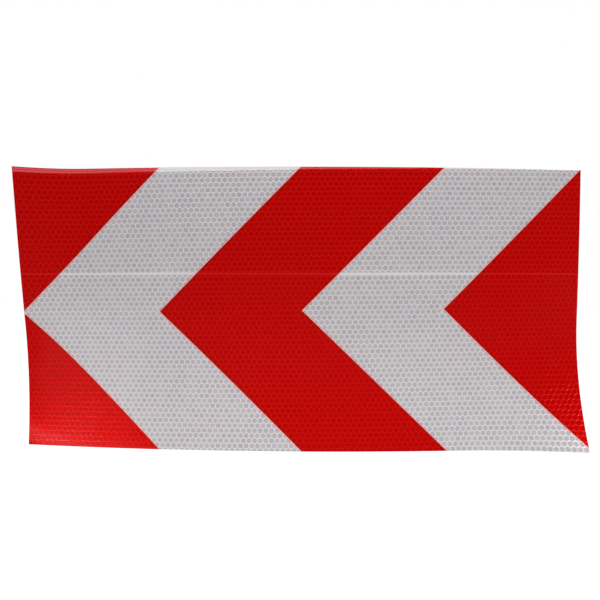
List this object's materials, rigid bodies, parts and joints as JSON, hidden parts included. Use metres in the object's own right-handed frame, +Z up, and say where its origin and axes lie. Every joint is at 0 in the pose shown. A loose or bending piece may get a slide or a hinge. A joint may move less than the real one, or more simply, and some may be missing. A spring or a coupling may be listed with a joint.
{
  "type": "chevron sign",
  "caption": "Thin bowed sheet of honeycomb retroreflective film with white chevrons pointing left on red, on an adhesive back with a peel-off liner.",
  "frame": {"origin": "on the back of the adhesive, midway along the sheet and level with the chevrons' points", "axes": "+X along the sheet to the right as seen from the front, +Z up, and +Y from the face to the adhesive back, so the face looks towards -Y"},
  "size_m": [0.6, 0.0381, 0.298],
  "materials": {
    "red_film": "glossy transparent red over honeycomb cells",
    "clear_film": "clear, glossy",
    "prism_film": "pale grey honeycomb of sealed cells",
    "weld": "plain, pale",
    "backing": "white, satin",
    "adhesive": "clear, tacky",
    "liner": "coated paper, smooth"
  },
  "bodies": {
    "film": {"red_upper_left": "red_film", "red_lower_left": "red_film", "red_chevron": "red_film", "red_right": "red_film", "face_film": "clear_film", "upper_prism_panel": "prism_film", "lower_prism_panel": "prism_film", "seam_weld": "weld", "top_edge_weld": "weld", "backing_film": "backing", "adhesive_layer": "adhesive"},
    "liner": {"release_liner": "liner"}
  },
  "joints": [
    {"name": "liner_peel", "type": "slide", "parent": "film", "child": "liner", "axis": [0, 1, 0], "range_m": [0, 0.06]}
  ]
}
